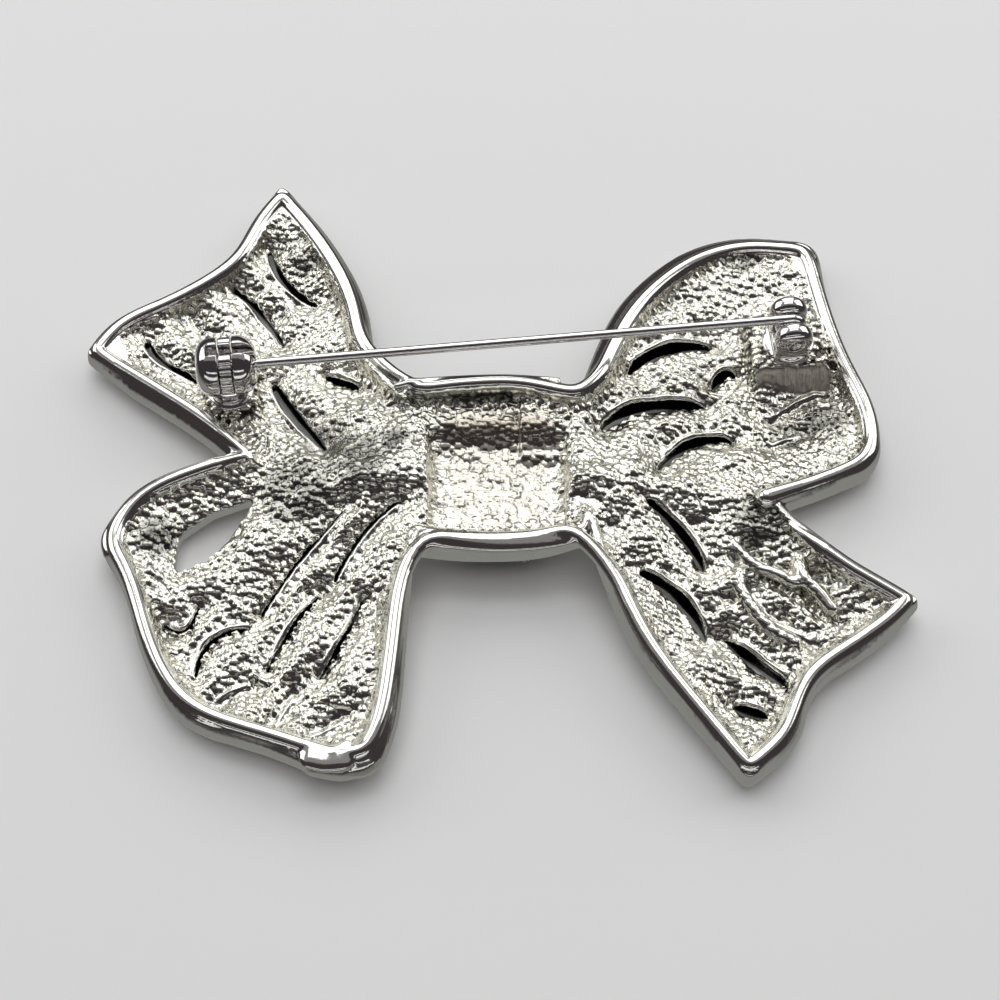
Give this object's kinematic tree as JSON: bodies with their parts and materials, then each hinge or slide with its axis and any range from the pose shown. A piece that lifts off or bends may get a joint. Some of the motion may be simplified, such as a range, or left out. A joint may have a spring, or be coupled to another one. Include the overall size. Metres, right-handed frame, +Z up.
{
  "type": "bow brooch",
  "caption": "Cast metal bow brooch with a hollow back, lying on its front, with a hinged pin and a turning ball catch.",
  "frame": {"origin": "under the middle of the brooch's box, on the surface that the brooch lies on, front down", "axes": "+Z up out of the hollow back, +X towards the hinge end, +Y towards the upper tail and loop"},
  "size_m": [0.0632, 0.0538, 0.0087],
  "materials": {
    "cast_metal": "rhodium-bright plating, polished on the rim and sides, as-cast grain in the hollow",
    "findings_metal": "polished plated metal, slightly darker",
    "pin_wire": "polished drawn wire",
    "clear_stone": "clear step-cut crystal"
  },
  "bodies": {
    "bow": {"bow_casting": "cast_metal", "knot_stone": "clear_stone", "hinge_base": "findings_metal", "hinge_rivet": "findings_metal", "catch_base": "findings_metal"},
    "pin": {"pin_stem": "pin_wire"},
    "roller": {"catch_roller": "findings_metal"}
  },
  "joints": [
    {"name": "pin_swing", "type": "hinge", "parent": "bow", "child": "pin", "pos_m": [0.02336, 0.01018, 0.00554], "axis": [-0.1022, 0.9948, 0], "range_deg": [0, 90]},
    {"name": "roller_turn", "type": "hinge", "parent": "bow", "child": "roller", "pos_m": [-0.01994, 0.00573, 0.0064], "axis": [-0.9948, -0.1022, 0], "range_deg": [0, 120]}
  ]
}
